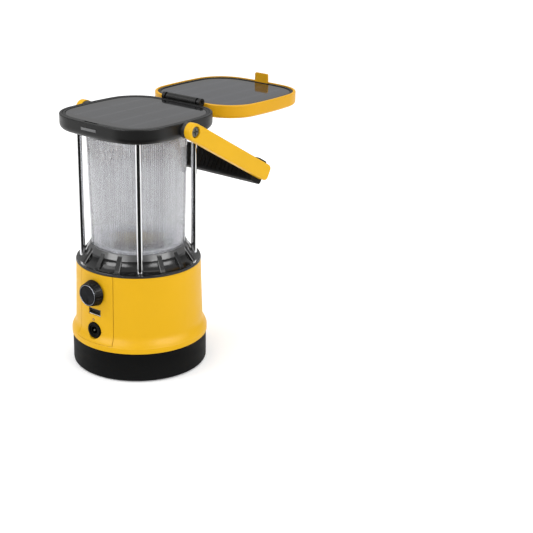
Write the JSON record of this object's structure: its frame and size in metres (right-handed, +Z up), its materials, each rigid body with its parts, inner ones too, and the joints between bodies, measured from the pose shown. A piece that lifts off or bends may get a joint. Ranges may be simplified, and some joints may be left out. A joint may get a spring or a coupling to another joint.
{
  "type": "solar lantern",
  "caption": "Solar camping lantern: battery base with dimmer knob, ribbed light tube in guard rods, solar panel head, hinged solar lid and fold-back handle.",
  "frame": {"origin": "centre of the rubber pad that the lantern stands on", "axes": "+Z up along the lantern's axis; the control panel faces -Y, the lid opens towards +Y, +X is to the right seen from the front"},
  "size_m": [0.1356, 0.2397, 0.2348],
  "materials": {
    "black_abs": "fine matt spark texture",
    "black_satin": "satin moulded",
    "bright_steel": "zinc-plated steel",
    "cell_wrap": "shrink-wrapped steel can",
    "circuit_board": "solder mask",
    "collar_grey": "satin moulded dark grey",
    "component_mix": "moulded packages",
    "cup_grey": "satin light grey",
    "foot_rubber": "matt rubber",
    "grip_black": "matt moulded with fine grooves",
    "heatsink_alloy": "machined",
    "inlay_blue": "dark blue gloss",
    "knob_face": "spun dark anodised",
    "nickel": "nickel strip",
    "nylon": "nylon",
    "panel_backing": "laminate board",
    "panel_cover": "dark glossy cover sheet",
    "phosphor": "lamp phosphor",
    "plate_grey": "plain printed bar",
    "red_lens": "clear red",
    "rod_chrome": "polished chrome plating",
    "seal_rubber": "soft rubber",
    "solar_cell": "dark blue silicon",
    "trim_grey": "satin grey",
    "tube_clear": "fine-ribbed translucent polycarbonate",
    "white_plastic": "satin white",
    "yellow_abs": "semi-gloss moulded, faint orange-peel"
  },
  "bodies": {
    "lantern": {"base_cup": "black_abs", "base_reflector": "white_plastic", "base_screws": "bright_steel", "battery_cells": "cell_wrap", "battery_clamp": "black_abs", "battery_tray": "black_abs", "board_components": "component_mix", "cell_straps": "nickel", "charge_led": "red_lens", "collar_screws": "bright_steel", "control_board": "circuit_board", "control_panel": "yellow_abs", "dc_jack_body": "black_satin", "dc_jack_pin": "rod_chrome", "fin_collar": "collar_grey", "foot_pad": "foot_rubber", "guard_rods": "rod_chrome", "head_panel_backing": "panel_backing", "head_panel_cover": "panel_cover", "head_panel_frame": "black_satin", "head_solar_cells": "solar_cell", "hinge_leaf_head": "black_satin", "hinge_pin": "bright_steel", "hinge_screws_head": "bright_steel", "lamp_board": "white_plastic", "lamp_chips": "phosphor", "lamp_cup": "cup_grey", "lamp_heatsink": "heatsink_alloy", "light_tube": "tube_clear", "main_housing": "yellow_abs", "nameplate_blank": "plate_grey", "pivot_screws": "bright_steel", "pivot_washers": "nylon", "pot_body": "component_mix", "pot_nut": "bright_steel", "rod_screws": "bright_steel", "top_plate": "black_satin", "top_reflector": "white_plastic", "trim_ring": "trim_grey", "tube_gasket_lower": "seal_rubber", "tube_gasket_upper": "seal_rubber", "usb_shell": "bright_steel", "usb_tongue": "black_abs"},
    "lid": {"lid_shell": "yellow_abs", "lid_panel_frame": "black_satin", "lid_inlay": "inlay_blue", "lid_panel_backing": "panel_backing", "lid_solar_cells": "solar_cell", "lid_panel_cover": "panel_cover", "hinge_leaf_lid": "black_satin", "hinge_screws_lid": "bright_steel"},
    "handle": {"handle_arm_right": "yellow_abs", "handle_arm_left": "yellow_abs", "grip_inner": "grip_black", "grip_outer": "grip_black", "grip_screws": "bright_steel"},
    "knob": {"control_knob": "black_satin", "knob_cap": "knob_face", "pot_shaft": "bright_steel"}
  },
  "joints": [
    {"name": "lid_hinge", "type": "hinge", "parent": "lantern", "child": "lid", "pos_m": [0, 0.0594, 0.228], "axis": [1, 0, 0], "range_deg": [0, 180]},
    {"name": "handle_swing", "type": "hinge", "parent": "lantern", "child": "handle", "pos_m": [0, 0, 0.22], "axis": [1, 0, 0], "range_deg": [0, 119.5]},
    {"name": "knob_turn", "type": "hinge", "parent": "lantern", "child": "knob", "pos_m": [0, -0.056, 0.0771], "axis": [0, 1, 0], "range_deg": [0, 300]}
  ],
  "couplings": [
    {"joint": "handle_swing", "follows": "lid_hinge", "ratio": 0.6638}
  ]
}
